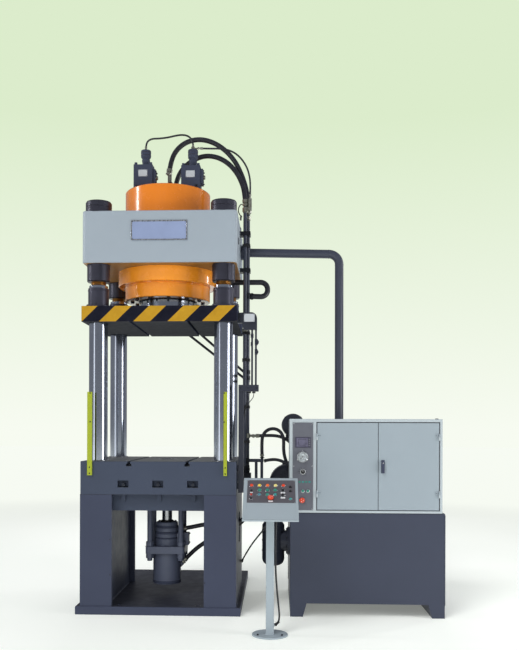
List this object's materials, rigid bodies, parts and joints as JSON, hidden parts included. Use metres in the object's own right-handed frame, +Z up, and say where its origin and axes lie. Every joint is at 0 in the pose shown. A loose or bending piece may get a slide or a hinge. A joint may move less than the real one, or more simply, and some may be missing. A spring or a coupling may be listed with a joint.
{
  "type": "hydraulic press",
  "caption": "Four-column hydraulic press with a downstroking main cylinder, ejector under the bed, oil tank, control cabinet, operator console, pipes and hoses.",
  "frame": {"origin": "on the floor, under the axis of the ram", "axes": "+X to the operator's right, towards the tank; +Y to the rear; +Z up along the ram axis"},
  "size_m": [3.045, 2.622, 4.1683],
  "materials": {
    "frame_paint": "semi-gloss dark blue-grey machine paint",
    "tank_paint": "semi-gloss dark blue-grey machine paint",
    "motor_paint": "semi-gloss dark blue-grey paint on ribbed castings",
    "crown_paint": "semi-gloss light grey machine paint",
    "cabinet_paint": "fine textured light grey sheet paint",
    "console_paint": "light grey sheet paint",
    "cylinder_paint": "glossy orange enamel",
    "slide_paint": "dark machine paint with ochre and black slanted stripes on the front edge",
    "hard_chrome": "ground and polished hard chrome",
    "dark_steel": "blackened machined steel",
    "bright_steel": "machined steel",
    "bronze": "machined bronze",
    "plate_metal": "bare satin plate, no lettering",
    "pipe_paint": "dark grey painted steel pipe",
    "plated_steel": "zinc plated steel",
    "hose_rubber": "matt black rubber hose cover",
    "cable_jacket": "matt black cable jacket",
    "barrier_yellow": "yellow-green painted aluminium profile",
    "black_plastic": "black moulded plastic",
    "gauge_metal": "steel gauge case with a pale dial",
    "red_plastic": "red moulded plastic",
    "green_plastic": "green moulded plastic",
    "lamp_plastic": "coloured lamp lenses: red, yellow, orange, green and teal",
    "switchgear_plastic": "grey and black switchgear on steel rails"
  },
  "bodies": {
    "frame": {"stand": "frame_paint", "bed_block": "frame_paint", "columns": "hard_chrome", "column_nuts": "dark_steel", "crown": "crown_paint", "nameplate": "plate_metal", "main_cylinder": "cylinder_paint", "gland_ring": "cylinder_paint", "gland_bolts": "dark_steel", "switch_post": "frame_paint", "guard_strips": "barrier_yellow", "valve_blocks": "frame_paint", "valve_adapters": "frame_paint", "ejector_cylinder": "frame_paint", "ejector_studs": "dark_steel", "riser_pipes": "pipe_paint", "return_pipe": "pipe_paint", "prefill_pipe": "pipe_paint", "hose_fittings": "plated_steel", "main_hose_front": "hose_rubber", "main_hose_rear": "hose_rubber", "pilot_hose_left": "hose_rubber", "pilot_hose_right": "hose_rubber", "ejector_hose_upper": "hose_rubber", "ejector_hose_lower": "hose_rubber", "link_hose_arch": "hose_rubber", "link_hose_high": "hose_rubber", "link_hose_low": "hose_rubber", "leg_cable": "cable_jacket", "console_cable": "cable_jacket", "tank": "tank_paint", "cabinet": "cabinet_paint", "switchgear": "switchgear_plastic", "gauge": "gauge_metal", "main_motor": "motor_paint", "main_pump": "motor_paint", "pilot_motor": "motor_paint", "suction_filter": "frame_paint", "console_stand": "console_paint", "console_box": "console_paint", "signal_lamps": "lamp_plastic"},
    "slide_body": {"slide": "slide_paint", "guide_sleeves": "dark_steel", "guide_bushes": "bronze", "ram": "hard_chrome", "trip_frame": "frame_paint"},
    "ejector_rod_body": {"ejector_rod": "bright_steel"},
    "left_door_body": {"left_door": "cabinet_paint"},
    "right_door_body": {"right_door": "cabinet_paint"},
    "door_handle_body": {"door_handle": "black_plastic"},
    "gauge_needle_body": {"gauge_needle": "black_plastic"},
    "strip_knob_body": {"strip_knob": "black_plastic"},
    "strip_estop_body": {"strip_estop": "red_plastic"},
    "drive_body": {"drive_coupling": "bright_steel"},
    "console_estop_body": {"console_estop": "red_plastic"},
    "selector_upper_body": {"selector_upper": "black_plastic"},
    "selector_lower_body": {"selector_lower": "black_plastic"},
    "button_1_body": {"button_1": "green_plastic"},
    "button_2_body": {"button_2": "green_plastic"},
    "button_3_body": {"button_3": "green_plastic"}
  },
  "joints": [
    {"name": "slide_travel", "type": "slide", "parent": "frame", "child": "slide_body", "axis": [0, 0, -1], "range_m": [0, 0.45]},
    {"name": "ejector_travel", "type": "slide", "parent": "frame", "child": "ejector_rod_body", "axis": [0, 0, 1], "range_m": [0, 0.2]},
    {"name": "left_door_hinge", "type": "hinge", "parent": "frame", "child": "left_door_body", "pos_m": [1.314, -0.572, 1.24], "axis": [0, 0, -1], "range_deg": [0, 100]},
    {"name": "right_door_hinge", "type": "hinge", "parent": "frame", "child": "right_door_body", "pos_m": [2.31, -0.572, 1.24], "axis": [0, 0, 1], "range_deg": [0, 100]},
    {"name": "door_handle_turn", "type": "hinge", "parent": "right_door_body", "child": "door_handle_body", "pos_m": [1.852, -0.567, 1.268], "axis": [0, 1, 0], "range_deg": [0, 90]},
    {"name": "gauge_needle_sweep", "type": "hinge", "parent": "frame", "child": "gauge_needle_body", "pos_m": [1.195, -0.58, 1.316], "axis": [0, 1, 0], "range_deg": [0, 270]},
    {"name": "strip_knob_turn", "type": "hinge", "parent": "frame", "child": "strip_knob_body", "pos_m": [1.198, -0.57, 1.193], "axis": [0, 1, 0], "range_deg": [-135, 135]},
    {"name": "strip_estop_press", "type": "slide", "parent": "frame", "child": "strip_estop_body", "axis": [0, 1, 0], "range_m": [0, 0.006], "stiffness_N_per_m": 1200, "springref_m": -0.002},
    {"name": "drive_spin", "type": "hinge", "parent": "frame", "child": "drive_body", "pos_m": [1.085, 0.4, 1.058], "axis": [0, 1, 0], "continuous": true},
    {"name": "console_estop_press", "type": "slide", "parent": "frame", "child": "console_estop_body", "axis": [0, 0.5895, -0.8078], "range_m": [0, 0.006], "stiffness_N_per_m": 1200, "springref_m": -0.002},
    {"name": "selector_upper_turn", "type": "hinge", "parent": "frame", "child": "selector_upper_body", "pos_m": [1.029, -1.21035, 1.08409], "axis": [0, -0.5895, 0.8078], "range_deg": [-45, 45]},
    {"name": "selector_lower_turn", "type": "hinge", "parent": "frame", "child": "selector_lower_body", "pos_m": [1.029, -1.25559, 1.05108], "axis": [0, -0.5895, 0.8078], "range_deg": [-45, 45]},
    {"name": "button_1_press", "type": "slide", "parent": "frame", "child": "button_1_body", "axis": [0, 0.5895, -0.8078], "range_m": [0, 0.004], "stiffness_N_per_m": 500, "springref_m": -0.002},
    {"name": "button_2_press", "type": "slide", "parent": "frame", "child": "button_2_body", "axis": [0, 0.5895, -0.8078], "range_m": [0, 0.004], "stiffness_N_per_m": 500, "springref_m": -0.002},
    {"name": "button_3_press", "type": "slide", "parent": "frame", "child": "button_3_body", "axis": [0, 0.5895, -0.8078], "range_m": [0, 0.004], "stiffness_N_per_m": 500, "springref_m": -0.002}
  ]
}
